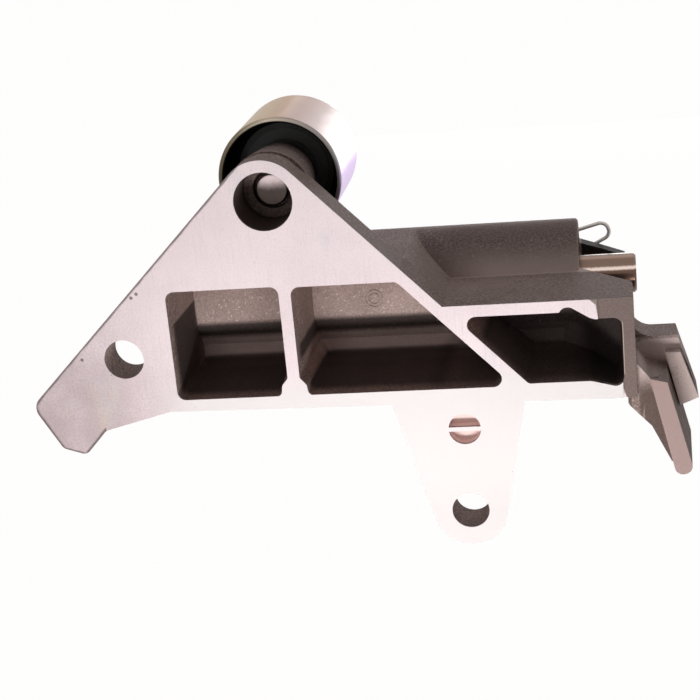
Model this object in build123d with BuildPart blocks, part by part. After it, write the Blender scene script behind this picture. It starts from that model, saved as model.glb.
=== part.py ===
"""Timing belt damper: a die-cast bracket with a deflection roller and a hydraulic plunger.

The mounting face is the plane Y = 0 and looks towards -Y. +X runs along the pockets towards
the plunger, +Z is up, and the origin is the centre of the left bolt hole on the mounting face.
All sizes are in millimetres.
"""

import os
from math import cos, radians, sin, sqrt, tan

from build123d import *

os.makedirs("parts", exist_ok=True)

# Bolt holes in the mounting plate
plate_thickness = 10.5
left_hole_dia = 9.8
flange_hole_dia = 9.0
flange_hole_x = 81.1
flange_hole_z = -42.5

# Roller axle and the apex of the plate round it
axle_x = 38.3
axle_z = 36.9
apex_radius = 9.9
left_edge_angle = 44.6
left_edge_reach = 10.1
right_edge_angle = 46.3
right_edge_reach = 9.6
counterbore_dia = 14.0
counterbore_depth = 13.2

# Left tip of the plate
tip_x = -24.8
tip_end_rounding = 3.6
tip_toe_x = -18.5
tip_toe_z = -22.4
tip_heel_x = -12.8
tip_heel_z = -24.3
tip_notch_x = -7.0
tip_notch_z = -18.2
underside_start_x = 9.7
tip_rounding = 2.0

# How far a form runs into its neighbour, or a cut past what it cuts
overlap = 1.0

# Deep body with the three pockets
wall = 2.8
pocket_left_x = 12.1
web_left_x = 39.6
web_thickness = 2.9
pocket_top_z = 16.3
middle_top_drop = 0.35
pocket_floor_z = -11.1
pocket_depth = 28.0
pocket_draft = 2.0
pocket_rounding = 2.1
pocket_floor_rounding = 1.0
flare_width = 1.9
flare_shoulder = 1.5
flare_rounding = 1.2
flare_height = 4.4
flare_foot = 2.7
back_wall = 3.0
underside_left_z = -14.0
underside_right_z = -15.2

# Arm to the right of the sloping wall
shelf_z = 9.3
arm_end_x = 122.1
bump_from_wall = 12.4
bump_radius = 2.2
bump_rise = 1.2
bump_run = 6.2
end_top_drop = 2.0
end_floor_rise = 0.5
heel_run = 4.6
heel_drop = 2.1

# Machined face, which ends where the cutter left the casting
machined_step = 0.5
machined_end_x = 113.8
machined_foot_x = 118.9

# Lower flange
flange_end_radius = 8.9
flange_left_x = 63.9
flange_right_x = 96.0
recess_dia = 7.75
recess_depth = 3.0
recess_z = -21.4
recess_bar_width = 1.05

# Belt plane and roller
belt_plane_y = 37.9
roller_seat_wall = 2.23
roller_width = 29.4
roller_wall = 1.3
roller_lip = 1.0
rim_chamfer = 0.4
bearing_dia = 26.0
bearing_width = 8.0
bearing_bore = 8.04
ball_dia = 4.76
ball_count = 7
inner_ring_wall = 3.58
outer_ring_wall = 2.6
ball_clearance = 0.03
cage_thickness = 0.8
cage_width = 5.7
seal_thickness = 0.8
seal_lip_gap = 0.1
circlip_thickness = 1.2
circlip_depth = 0.7
circlip_wire = 2.0
circlip_gap_angle = 40.0

# Axle boss and bolt
boss_root_radius = 9.9
boss_tip_radius = 8.6
boss_length = 14.0
nose_radius = 6.6
bolt_dia = 8.0
bolt_chamfer = 0.45
bolt_proud = 1.0
bolt_relief = 0.8
bolt_relief_depth = 3.0
bolt_head_across_flats = 13.0
bolt_head_height = 5.3
washer_dia = 14.4
washer_thickness = 1.6

# Damper barrel and its bore
damper_z = 4.2
barrel_radius = 14.4
barrel_left_x = 9.3
barrel_mouth_x = 109.5
bore_dia = 20.0
bore_depth = 67.5
mouth_chamfer = 0.6

# Corner relief in the arm for the belt lever, and the guard behind the rod
relief_front_y = 13.0
relief_back_y = 27.0
relief_floor_z = -3.5
relief_rounding = 4.0
guard_end_x = 120.9
guard_top_z = 10.3
guard_tip_z = 5.8
guard_foot_z = -3.0
guard_side_y = 45.0

# Rod, piston and seals
rod_dia = 10.0
rod_proud = 13.9
rod_chamfer = 0.5
stroke = 8.0
running_fit = 0.03
seating_fit = 0.02
piston_dia = 14.0
piston_length = 30.0
piston_bore_dia = 9.0
piston_floor = 6.0
valve_bore_dia = 3.0
valve_recess_dia = 6.4
valve_recess_depth = 3.0
check_ball_dia = 4.0
retainer_thickness = 0.5
cap_height = 3.4
cap_vent_dia = 1.6
check_spring_wire = 0.35
check_spring_turns = 2.5
foot_thickness = 2.5
wear_ring_length = 4.5
wear_ring_gap = 0.5
rod_seal_length = 5.0
rod_seal_lip = 1.4
mouth_recess = 5.3
sleeve_length = 26.0
return_spring_dia = 10.4
return_spring_wire = 1.5
return_spring_turns = 4.0
return_spring_gap = 0.25
wire_sides = 8

# Lock pin of bent wire
pin_dia = 1.0
pin_inset = 3.0
pin_bite = 7.4
pin_hole_clearance = 0.08
pin_room = 0.7
pin_end_gap = 0.3
pin_stand_off = 1.6
pin_loop_reach = 12.5
pin_loop_angle = 27.5
pin_nose_length = 3.9
pin_nose_radius = 2.0
pin_return_length = 9.0
pin_return_angle = 195.0
pin_bend_radius = 1.6

# Tail with two ribs
rib_rounding = 2.0
rib_top_slant = 1.0
tail_front_y = 16.0
tail_back_y = 25.0
tail_top_z = -5.5
tail_rise = 2.4
tail_fillet = 4.0
tail_top_x = 132.2
tail_end_x = 136.7
tail_end_z = -20.6
long_rib_front_y = 2.5
long_rib_top_z = -11.7
long_rib_left_x = 125.1
long_rib_right_x = 129.1
long_rib_tip_x = 134.7
long_rib_tip_z = -35.5
long_rib_foot_x = 130.6
long_rib_foot_z = -36.6
short_rib_front_y = 13.0
short_rib_top_z = -8.9
short_rib_left_x = 129.1
short_rib_right_x = 132.7
short_rib_foot_x = 132.3
short_rib_foot_z = -22.4
gusset_front_y = 0.6
gusset_slope = 0.55
gusset_ridge_z = -7.2
gusset_heel_x = 119.9
gusset_heel_z = -17.0
gusset_knee_x = 125.2
gusset_knee_z = -23.8
gusset_foot_x = 129.6
gusset_foot_z = -34.0

# Casting finish
casting_rounding = 0.8
back_rounding = 1.5
casting_draft = 2.0
mark_radius = 2.3
mark_width = 0.35
mark_depth = 0.2
mark_x = 58.9
mark_z = 5.3

# Values worked out from the sizes above
body_back_y = pocket_depth + back_wall
web_right_x = web_left_x + web_thickness
left_slope = tan(radians(left_edge_angle))
right_normal = (sin(radians(right_edge_angle)), cos(radians(right_edge_angle)))
right_reach = axle_x * right_normal[0] + axle_z * right_normal[1] + right_edge_reach
left_edge_x = axle_x - left_edge_reach / sin(radians(left_edge_angle))
body_top_z = damper_z + barrel_radius
roller_radius = bearing_dia / 2 + seating_fit + roller_seat_wall
bump_x = arm_end_x - wall - bump_from_wall
roller_front_y = belt_plane_y - roller_width / 2
roller_back_y = belt_plane_y + roller_width / 2
bearing_front_y = belt_plane_y - bearing_width / 2
bearing_back_y = belt_plane_y + bearing_width / 2
inner_shoulder_dia = bearing_bore + 2 * inner_ring_wall
outer_shoulder_dia = bearing_dia - 2 * outer_ring_wall
ball_circle = (inner_shoulder_dia + outer_shoulder_dia) / 4
bolt_tip_y = counterbore_depth - bolt_proud
bore_end_x = barrel_mouth_x - bore_depth
rod_tip_x = barrel_mouth_x + rod_proud
pin_x = barrel_mouth_x - pin_inset
seal_circlip_x = barrel_mouth_x - mouth_recess - circlip_thickness
rod_seal_x = seal_circlip_x - rod_seal_length
wear_ring_x = rod_seal_x - stroke - wear_ring_length - wear_ring_gap
foot_x = wear_ring_x - foot_thickness
piston_x = foot_x - piston_length
valve_x = piston_x + valve_recess_depth

axle_line = Axis((axle_x, 0, axle_z), (0, 1, 0))
axle_section = Plane(origin=(axle_x, 0, axle_z), x_dir=(1, 0, 0), z_dir=(0, 0, 1))
damper_line = Axis((0, belt_plane_y, damper_z), (1, 0, 0))
damper_section = Plane(origin=(0, belt_plane_y, damper_z), x_dir=(1, 0, 0), z_dir=(0, 0, 1))


def slope_x(z, inset=0.0):
    """X of the sloping right-hand edge at height z, moved inwards by inset."""
    return (right_reach - inset - z * right_normal[1]) / right_normal[0]


def underside_z(x):
    """Height of the bracket's underside, which falls gently to the right."""
    share = (x - pocket_left_x) / (arm_end_x - pocket_left_x)
    return underside_left_z + share * (underside_right_z - underside_left_z)


def at_depth(y):
    """Plane parallel to the mounting face at depth y; its sketches use X and Z."""
    return Plane.XZ.offset(-y)


# Cores that leave the three pockets
tip_top_z = axle_z - (left_edge_x - tip_x) * left_slope
middle_top_z = pocket_top_z - middle_top_drop
pocket_lines = {}
pocket_lines["left"] = [
    (pocket_left_x, pocket_floor_z, pocket_rounding),
    (web_left_x - flare_width, pocket_floor_z, flare_rounding),
    (web_left_x - flare_shoulder, pocket_floor_z + flare_foot, casting_rounding),
    (web_left_x, pocket_floor_z + flare_height, flare_rounding),
    (web_left_x, pocket_top_z, pocket_rounding),
    (pocket_left_x, pocket_top_z, pocket_rounding),
]
pocket_lines["middle"] = [
    (web_right_x + flare_width, pocket_floor_z, flare_rounding),
    (slope_x(pocket_floor_z, wall), pocket_floor_z, pocket_rounding),
    (slope_x(middle_top_z, wall), middle_top_z, pocket_rounding),
    (web_right_x, middle_top_z, pocket_rounding),
    (web_right_x, pocket_floor_z + flare_height, flare_rounding),
    (web_right_x + flare_shoulder, pocket_floor_z + flare_foot, casting_rounding),
]
end_floor_z = pocket_floor_z + end_floor_rise
end_top_z = shelf_z - wall - end_top_drop
bump_z = shelf_z - wall - bump_radius + bump_rise
pocket_lines["right"] = [
    (slope_x(end_floor_z), end_floor_z, flare_rounding),
    (bump_x + heel_run, end_floor_z, pocket_rounding),
    (arm_end_x - wall, end_floor_z - heel_drop, pocket_rounding),
    (arm_end_x - wall, end_top_z, pocket_rounding),
    (bump_x + bump_run, end_top_z, flare_rounding),
    (bump_x, shelf_z - wall, flare_rounding),
    (slope_x(shelf_z - wall), shelf_z - wall, pocket_rounding),
]

cores = {}
for core_name, corners in pocket_lines.items():
    with BuildPart() as core:
        with BuildSketch(at_depth(0)):
            with BuildLine():
                FilletPolyline(
                    *[(x, z) for x, z, rounding in corners],
                    radius=[rounding for x, z, rounding in corners],
                    close=True,
                )
            make_face()
        extrude(amount=-pocket_depth, taper=pocket_draft)
        fillet(core.faces().sort_by(Axis.Y)[-1].edges(), pocket_floor_rounding)
    cores[core_name] = core.part

# The right core stays a wall's thickness clear of the corner relief
relief_slope = (relief_back_y - relief_front_y) / (arm_end_x - barrel_mouth_x)
relief_inside_y = relief_front_y - wall * sqrt(1 + relief_slope**2)
with BuildPart() as right_core:
    add(cores["right"])
    with BuildSketch(at_depth(0)):
        with Locations((bump_x, bump_z)):
            Circle(bump_radius)
        with Locations((bump_x + bump_run - casting_rounding, end_top_z - casting_rounding)):
            Circle(casting_rounding)
        make_hull()
    extrude(amount=-relief_inside_y, taper=pocket_draft)
    with BuildSketch(Plane.XY.offset(pocket_floor_z - overlap)):
        with BuildLine():
            Polyline(
                (arm_end_x, relief_inside_y),
                (arm_end_x, pocket_depth + overlap),
                (arm_end_x - (pocket_depth + overlap - relief_inside_y) / relief_slope, pocket_depth + overlap),
                close=True,
            )
        make_face()
    extrude(amount=shelf_z - pocket_floor_z + overlap, mode=Mode.SUBTRACT)
cores["right"] = right_core.part

# The casting
left_line_z = axle_z - left_edge_x * left_slope
apex_x = (right_reach - right_normal[1] * left_line_z) / (right_normal[0] + right_normal[1] * left_slope)
apex_z = (right_reach - apex_x * right_normal[0]) / right_normal[1]
plate_foot_z = underside_z(slope_x(underside_right_z))
tail_depth = tail_back_y - tail_front_y

# Deep body, rounded at its back
with BuildPart() as deep_body:
    with BuildSketch(at_depth(0)):
        with BuildLine():
            Polyline(
                (pocket_left_x - wall, underside_z(pocket_left_x - wall)),
                (arm_end_x, underside_right_z),
                (arm_end_x, shelf_z),
                (slope_x(shelf_z), shelf_z),
                (slope_x(body_top_z), body_top_z),
                (pocket_left_x - wall, body_top_z),
                close=True,
            )
        make_face()
    extrude(amount=-body_back_y)
    fillet(deep_body.faces().sort_by(Axis.Y)[-1].edges(), back_rounding)

# Barrel with rounded rims
with BuildPart() as barrel:
    with BuildSketch(Plane.YZ.offset(barrel_left_x)):
        with Locations((belt_plane_y, damper_z)):
            Circle(barrel_radius)
    extrude(amount=barrel_mouth_x - barrel_left_x)
    fillet(barrel.faces().sort_by(Axis.X)[0].edges(), back_rounding)
    fillet(barrel.faces().sort_by(Axis.X)[-1].edges(), casting_rounding)

# Ring mark that stands in the middle pocket's wall
with BuildPart() as ring_mark:
    with BuildSketch(at_depth(belt_plane_y - barrel_radius - overlap)):
        with Locations((mark_x, mark_z)):
            Circle(mark_radius)
            Circle(mark_radius - mark_width, mode=Mode.SUBTRACT)
            Circle(mark_radius / 2 + mark_width)
            Circle(mark_radius / 2, mode=Mode.SUBTRACT)
    extrude(amount=-barrel_radius)
    with BuildSketch(Plane.YZ.offset(mark_x - 2 * mark_radius)):
        with Locations((belt_plane_y, damper_z)):
            Circle(barrel_radius - mark_depth)
    extrude(amount=4 * mark_radius, mode=Mode.SUBTRACT)

# Gusset between the arm's end and the long rib
with BuildPart() as gusset:
    with BuildSketch(at_depth(0)):
        with BuildLine():
            Polyline(
                (arm_end_x - wall / 2, underside_right_z),
                (gusset_heel_x, gusset_heel_z),
                (gusset_knee_x, gusset_knee_z),
                (gusset_foot_x, gusset_foot_z),
                ((long_rib_foot_x + long_rib_tip_x) / 2, gusset_foot_z),
                ((long_rib_left_x + long_rib_right_x) / 2, long_rib_top_z),
                (long_rib_left_x, long_rib_top_z),
                (arm_end_x, gusset_ridge_z),
                (arm_end_x - wall / 2, gusset_ridge_z),
                close=True,
            )
        make_face()
    extrude(amount=-tail_back_y)
    with BuildSketch(Plane.XY.offset(gusset_foot_z - overlap)):
        with BuildLine():
            Polyline(
                (gusset_heel_x - wall, -overlap),
                (gusset_heel_x - wall, gusset_front_y),
                (gusset_heel_x, gusset_front_y),
                (tail_end_x, gusset_front_y + gusset_slope * (tail_end_x - gusset_heel_x)),
                (tail_end_x, -overlap),
                close=True,
            )
        make_face()
    extrude(amount=gusset_ridge_z - gusset_foot_z + 2 * overlap, mode=Mode.SUBTRACT)

with BuildPart() as bracket:
    # Plate that bolts to the engine
    with BuildSketch(at_depth(0)):
        with BuildLine():
            FilletPolyline(
                (tip_x, tip_top_z),
                (tip_toe_x, tip_toe_z),
                (tip_heel_x, tip_heel_z),
                (tip_notch_x, tip_notch_z),
                (underside_start_x, underside_z(underside_start_x)),
                (slope_x(plate_foot_z), plate_foot_z),
                (apex_x, apex_z),
                radius=[tip_end_rounding] + [tip_rounding] * 5 + [apex_radius],
                close=True,
            )
        make_face()
    extrude(amount=-plate_thickness, taper=casting_draft)

    # Lower flange
    with BuildSketch(at_depth(0)):
        with BuildLine():
            CenterArc((flange_hole_x, flange_hole_z), flange_end_radius, 0, 360)
            Line(
                (flange_left_x, underside_z(flange_left_x) + overlap),
                (flange_right_x, underside_z(flange_right_x) + overlap),
            )
        make_hull()
    extrude(amount=-plate_thickness)

    # Deep body round the pockets
    add(deep_body.part)

    # Saddle that carries the body's top back to the crown of the barrel
    with BuildSketch(at_depth(0)):
        with BuildLine():
            Polyline(
                (barrel_left_x, damper_z),
                (slope_x(damper_z), damper_z),
                (slope_x(body_top_z), body_top_z),
                (barrel_left_x, body_top_z),
                close=True,
            )
        make_face()
    extrude(amount=-belt_plane_y)

    for core_part in cores.values():
        add(core_part, mode=Mode.SUBTRACT)

    add(barrel.part)
    add(ring_mark.part, mode=Mode.SUBTRACT)

    # Corner relief for the belt lever
    with BuildSketch(Plane.XY.offset(relief_floor_z)) as relief_outline:
        with BuildLine():
            Polyline(
                (barrel_mouth_x, relief_back_y),
                (arm_end_x, relief_front_y),
                (arm_end_x, relief_front_y - relief_rounding),
                (arm_end_x + stroke, relief_front_y - relief_rounding),
                (arm_end_x + stroke, belt_plane_y + barrel_radius),
                (barrel_mouth_x, belt_plane_y + barrel_radius),
                close=True,
            )
        make_face()
        relief_corner = relief_outline.vertices().group_by(Axis.X)[1].sort_by(Axis.Y)[-1]
        fillet(relief_corner, relief_rounding)
    extrude(amount=body_top_z - relief_floor_z, mode=Mode.SUBTRACT)

    # Guard behind the rod, a slice of the barrel's wall with a sloping top
    with BuildSketch(Plane.YZ.offset(barrel_mouth_x)):
        with Locations((belt_plane_y, damper_z)):
            Circle(barrel_radius)
            Circle(bore_dia / 2 + mouth_chamfer, mode=Mode.SUBTRACT)
        with Locations((guard_side_y + barrel_radius, guard_foot_z)):
            Rectangle(
                2 * barrel_radius,
                2 * barrel_radius,
                align=(Align.CENTER, Align.MIN),
                mode=Mode.INTERSECT,
            )
    extrude(amount=guard_end_x - barrel_mouth_x)
    with BuildSketch(at_depth(belt_plane_y)):
        with BuildLine():
            Polyline(
                (barrel_mouth_x, guard_top_z),
                (guard_end_x, guard_tip_z),
                (guard_end_x + overlap, guard_tip_z),
                (guard_end_x + overlap, body_top_z + overlap),
                (barrel_mouth_x, body_top_z + overlap),
                close=True,
            )
        make_face()
    extrude(amount=-barrel_radius - overlap, mode=Mode.SUBTRACT)

    # Tail web, which rises into the arm with a hollow curve
    with BuildSketch(at_depth(tail_front_y)):
        with BuildLine():
            Polyline(
                (arm_end_x + tail_fillet, tail_top_z),
                (tail_top_x, tail_top_z),
                (tail_end_x, tail_end_z),
                (short_rib_foot_x, short_rib_foot_z),
                ((long_rib_foot_x + long_rib_tip_x) / 2, gusset_foot_z),
                (gusset_foot_x, gusset_foot_z),
                (gusset_knee_x, gusset_knee_z),
                (gusset_heel_x, gusset_heel_z),
                (arm_end_x - wall, underside_right_z),
                (arm_end_x - wall, tail_top_z + tail_rise),
                (arm_end_x, tail_top_z + tail_rise),
            )
            RadiusArc(
                (arm_end_x, tail_top_z + tail_rise),
                (arm_end_x + tail_fillet, tail_top_z),
                -tail_fillet - tail_rise / 2,
            )
        make_face()
    extrude(amount=-tail_depth)

    # Hollow corner between the arm's end and the web
    with BuildSketch(Plane.XY.offset(underside_right_z)):
        with Locations((arm_end_x, tail_front_y)):
            Rectangle(tail_fillet, tail_fillet, align=(Align.MIN, Align.MAX))
        with Locations((arm_end_x + tail_fillet, tail_front_y - tail_fillet)):
            Circle(tail_fillet, mode=Mode.SUBTRACT)
    extrude(amount=tail_top_z - underside_right_z)

    # Gusset that slopes back from the arm's face to the long rib
    add(gusset.part)

    # Long and short rib of the tail
    with BuildSketch(at_depth(long_rib_front_y)) as long_rib:
        with BuildLine():
            Polyline(
                (long_rib_left_x, long_rib_top_z),
                (long_rib_right_x, long_rib_top_z - rib_top_slant),
                (long_rib_tip_x, long_rib_tip_z),
                (long_rib_foot_x, long_rib_foot_z),
                close=True,
            )
        make_face()
        fillet(long_rib.vertices().sort_by(Axis.Y)[:2], rib_rounding)
    extrude(amount=long_rib_front_y - tail_back_y, taper=-casting_draft)
    with BuildSketch(at_depth(short_rib_front_y)):
        with BuildLine():
            Polyline(
                (short_rib_left_x, short_rib_top_z),
                (short_rib_right_x, short_rib_top_z),
                (tail_end_x, tail_end_z),
                (short_rib_foot_x, short_rib_foot_z),
                close=True,
            )
        make_face()
    extrude(amount=short_rib_front_y - tail_back_y)

    # As-cast faces beyond the end of the machined face
    with BuildSketch(at_depth(0)) as uncut:
        with BuildLine():
            Polyline(
                (machined_end_x, body_top_z),
                (tail_end_x, body_top_z),
                (tail_end_x, gusset_foot_z),
                (machined_foot_x, gusset_foot_z),
                (machined_foot_x, damper_z - machined_foot_x + machined_end_x - wall),
                (machined_end_x, damper_z - wall),
                close=True,
            )
        make_face()
    extrude(amount=-machined_step, mode=Mode.SUBTRACT)

    # Boss and nose that carry the roller
    with BuildSketch(axle_section):
        with BuildLine():
            Polyline(
                (0, plate_thickness - overlap),
                (boss_root_radius, plate_thickness - overlap),
                (boss_tip_radius, plate_thickness + boss_length),
                (nose_radius, plate_thickness + boss_length + overlap),
                (nose_radius, bearing_front_y),
                (0, bearing_front_y),
                close=True,
            )
        make_face()
    revolve(axis=axle_line)

    # Bolt holes, counterbore and the bolt's thread hole
    with BuildSketch(at_depth(0)):
        Circle(left_hole_dia / 2)
        with Locations((flange_hole_x, flange_hole_z)):
            Circle(flange_hole_dia / 2)
    extrude(amount=-plate_thickness, mode=Mode.SUBTRACT)
    with BuildSketch(at_depth(0)):
        with Locations((axle_x, axle_z)):
            Circle(counterbore_dia / 2)
    extrude(amount=-counterbore_depth, mode=Mode.SUBTRACT)
    with BuildSketch(at_depth(0)):
        with Locations((axle_x, axle_z)):
            Circle(bolt_dia / 2 + bolt_relief)
    extrude(amount=-counterbore_depth - bolt_relief_depth, mode=Mode.SUBTRACT)
    with BuildSketch(at_depth(0)):
        with Locations((axle_x, axle_z)):
            Circle(bolt_dia / 2 + seating_fit)
    extrude(amount=-bearing_front_y, mode=Mode.SUBTRACT)

    # Shallow round recess crossed by a bar
    with BuildSketch(at_depth(0)):
        with Locations((flange_hole_x, recess_z)):
            Circle(recess_dia / 2)
            Rectangle(recess_dia + overlap, recess_bar_width, mode=Mode.SUBTRACT)
    extrude(amount=-recess_depth, mode=Mode.SUBTRACT)

    # Bore of the barrel with the groove for its ring
    with BuildSketch(damper_section):
        with BuildLine():
            Polyline(
                (bore_end_x, 0),
                (bore_end_x, bore_dia / 2),
                (seal_circlip_x, bore_dia / 2),
                (seal_circlip_x, bore_dia / 2 + circlip_depth),
                (seal_circlip_x + circlip_thickness, bore_dia / 2 + circlip_depth),
                (seal_circlip_x + circlip_thickness, bore_dia / 2),
                (barrel_mouth_x - mouth_chamfer, bore_dia / 2),
                (barrel_mouth_x, bore_dia / 2 + mouth_chamfer),
                (barrel_mouth_x, 0),
                close=True,
            )
        make_face()
    revolve(axis=damper_line, mode=Mode.SUBTRACT)

    # Hole for the lock pin in the barrel's rear wall
    with BuildSketch(at_depth(belt_plane_y)):
        with Locations((pin_x, damper_z)):
            Circle(pin_dia / 2 + pin_hole_clearance)
    extrude(amount=-barrel_radius - overlap, mode=Mode.SUBTRACT)

bracket.part.label = "bracket"
export_step(bracket.part, "parts/bracket.step")

# Roller shell with the bearing's seat in its middle
hollow_radius = roller_radius - roller_wall
seat_radius = bearing_dia / 2 + seating_fit
ring_groove_end_y = bearing_back_y + circlip_thickness
with BuildPart() as roller_shell:
    with BuildSketch(axle_section):
        with BuildLine():
            Polyline(
                (hollow_radius, roller_front_y),
                (roller_radius - rim_chamfer, roller_front_y),
                (roller_radius, roller_front_y + rim_chamfer),
                (roller_radius, roller_back_y - rim_chamfer),
                (roller_radius - rim_chamfer, roller_back_y),
                (hollow_radius, roller_back_y),
                (hollow_radius, ring_groove_end_y + roller_lip),
                (seat_radius, ring_groove_end_y + roller_lip),
                (seat_radius, ring_groove_end_y),
                (seat_radius + circlip_depth, ring_groove_end_y),
                (seat_radius + circlip_depth, bearing_back_y),
                (seat_radius, bearing_back_y),
                (seat_radius, bearing_front_y),
                (seat_radius - roller_lip, bearing_front_y),
                (seat_radius - roller_lip, bearing_front_y - roller_lip),
                (hollow_radius, bearing_front_y - roller_lip),
                close=True,
            )
        make_face()
    revolve(axis=axle_line)
roller_shell.part.label = "roller_shell"
export_step(roller_shell.part, "parts/roller_shell.step")

# Ball bearing: rings with ball grooves
groove_radius = ball_dia / 2 + ball_clearance
with BuildPart() as bearing_inner_ring:
    with BuildSketch(axle_section):
        with BuildLine():
            Polyline(
                (bearing_bore / 2, bearing_front_y),
                (inner_shoulder_dia / 2, bearing_front_y),
                (inner_shoulder_dia / 2, bearing_back_y),
                (bearing_bore / 2, bearing_back_y),
                close=True,
            )
        make_face()
        with Locations((ball_circle, belt_plane_y)):
            Circle(groove_radius, mode=Mode.SUBTRACT)
    revolve(axis=axle_line)
bearing_inner_ring.part.label = "bearing_inner_ring"
export_step(bearing_inner_ring.part, "parts/bearing_inner_ring.step")

with BuildPart() as bearing_outer_ring:
    with BuildSketch(axle_section):
        with BuildLine():
            Polyline(
                (outer_shoulder_dia / 2, bearing_front_y),
                (bearing_dia / 2, bearing_front_y),
                (bearing_dia / 2, bearing_back_y),
                (outer_shoulder_dia / 2, bearing_back_y),
                close=True,
            )
        make_face()
        with Locations((ball_circle, belt_plane_y)):
            Circle(groove_radius, mode=Mode.SUBTRACT)
    revolve(axis=axle_line)
bearing_outer_ring.part.label = "bearing_outer_ring"
export_step(bearing_outer_ring.part, "parts/bearing_outer_ring.step")

# Balls, and the cage that spaces them
ball_plane = Plane(origin=(axle_x, belt_plane_y, axle_z), x_dir=(1, 0, 0), z_dir=(0, -1, 0))
with BuildPart(ball_plane) as bearing_balls:
    with PolarLocations(ball_circle, ball_count):
        Sphere(ball_dia / 2)
bearing_balls.part.label = "bearing_balls"
export_step(bearing_balls.part, "parts/bearing_balls.step")

with BuildPart(ball_plane) as bearing_cage:
    Cylinder(ball_circle + cage_thickness / 2, cage_width)
    Cylinder(ball_circle - cage_thickness / 2, cage_width, mode=Mode.SUBTRACT)
    with PolarLocations(ball_circle, ball_count):
        Cylinder(groove_radius, 4 * cage_thickness, rotation=(0, 90, 0), mode=Mode.SUBTRACT)
bearing_cage.part.label = "bearing_cage"
export_step(bearing_cage.part, "parts/bearing_cage.step")

# Shields on both sides of the balls, held by the outer ring
shield_places = {
    "bearing_seal_front": bearing_front_y,
    "bearing_seal_rear": bearing_back_y - seal_thickness,
}
for shield_name, shield_y in shield_places.items():
    with BuildPart() as shield:
        with BuildSketch(at_depth(shield_y)):
            with Locations((axle_x, axle_z)):
                Circle(outer_shoulder_dia / 2 - seating_fit)
                Circle(inner_shoulder_dia / 2 + seal_lip_gap, mode=Mode.SUBTRACT)
        extrude(amount=-seal_thickness)
    shield.part.label = shield_name
    export_step(shield.part, f"parts/{shield_name}.step")


def snap_ring_face(outer_radius, width):
    """Open ring with a gap, drawn round the sketch's origin."""
    Circle(outer_radius)
    Circle(outer_radius - width, mode=Mode.SUBTRACT)
    gap = 2 * outer_radius * sin(radians(circlip_gap_angle / 2))
    with Locations((0, -outer_radius)):
        Rectangle(gap, 2 * outer_radius, mode=Mode.SUBTRACT)


with BuildPart() as bearing_circlip:
    with BuildSketch(Plane(origin=(axle_x, bearing_back_y, axle_z), x_dir=(1, 0, 0), z_dir=(0, 1, 0))):
        snap_ring_face(seat_radius + circlip_depth - seating_fit, circlip_wire)
    extrude(amount=circlip_thickness - seating_fit)
bearing_circlip.part.label = "bearing_circlip"
export_step(bearing_circlip.part, "parts/bearing_circlip.step")

# Roller bolt from the far side, with its washer
washer_back_y = bearing_back_y + washer_thickness
with BuildPart() as roller_washer:
    with BuildSketch(at_depth(bearing_back_y)):
        with Locations((axle_x, axle_z)):
            Circle(washer_dia / 2)
            Circle(bearing_bore / 2, mode=Mode.SUBTRACT)
    extrude(amount=-washer_thickness)
roller_washer.part.label = "roller_washer"
export_step(roller_washer.part, "parts/roller_washer.step")

with BuildPart() as roller_bolt:
    with BuildSketch(at_depth(bolt_tip_y)):
        with Locations((axle_x, axle_z)):
            Circle(bolt_dia / 2)
    extrude(amount=bolt_tip_y - washer_back_y)
    chamfer(roller_bolt.faces().sort_by(Axis.Y)[0].edges(), bolt_chamfer)
    with BuildSketch(at_depth(washer_back_y)):
        with Locations((axle_x, axle_z)):
            RegularPolygon(bolt_head_across_flats / 2, 6, major_radius=False)
    extrude(amount=-bolt_head_height)
    with BuildSketch(axle_section):
        with BuildLine():
            Polyline(
                (bolt_head_across_flats / 2 - bolt_chamfer, washer_back_y + bolt_head_height),
                (bolt_head_across_flats, washer_back_y + bolt_head_height),
                (
                    bolt_head_across_flats,
                    washer_back_y + bolt_head_height - bolt_head_across_flats / 2 * tan(radians(30)),
                ),
                close=True,
            )
        make_face()
    revolve(axis=axle_line, mode=Mode.SUBTRACT)
roller_bolt.part.label = "roller_bolt"
export_step(roller_bolt.part, "parts/roller_bolt.step")

# Sleeve in the bottom of the bore
piston_radius = piston_dia / 2 - running_fit
with BuildPart() as damper_sleeve:
    with BuildSketch(Plane.YZ.offset(bore_end_x)):
        with Locations((belt_plane_y, damper_z)):
            Circle(bore_dia / 2 - seating_fit)
            Circle(piston_dia / 2, mode=Mode.SUBTRACT)
    extrude(amount=sleeve_length)
damper_sleeve.part.label = "damper_sleeve"
export_step(damper_sleeve.part, "parts/damper_sleeve.step")

# Hollow piston with the valve seat in its left end
with BuildPart() as damper_piston:
    with BuildSketch(damper_section):
        with BuildLine():
            Polyline(
                (piston_x, valve_recess_dia / 2),
                (piston_x, piston_radius - rod_chamfer),
                (piston_x + rod_chamfer, piston_radius),
                (foot_x, piston_radius),
                (foot_x, piston_bore_dia / 2),
                (piston_x + piston_floor, piston_bore_dia / 2),
                (piston_x + piston_floor, valve_bore_dia / 2),
                (valve_x, valve_bore_dia / 2),
                (valve_x, valve_recess_dia / 2),
                close=True,
            )
        make_face()
    revolve(axis=damper_line)
damper_piston.part.label = "damper_piston"
export_step(damper_piston.part, "parts/damper_piston.step")

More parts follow.
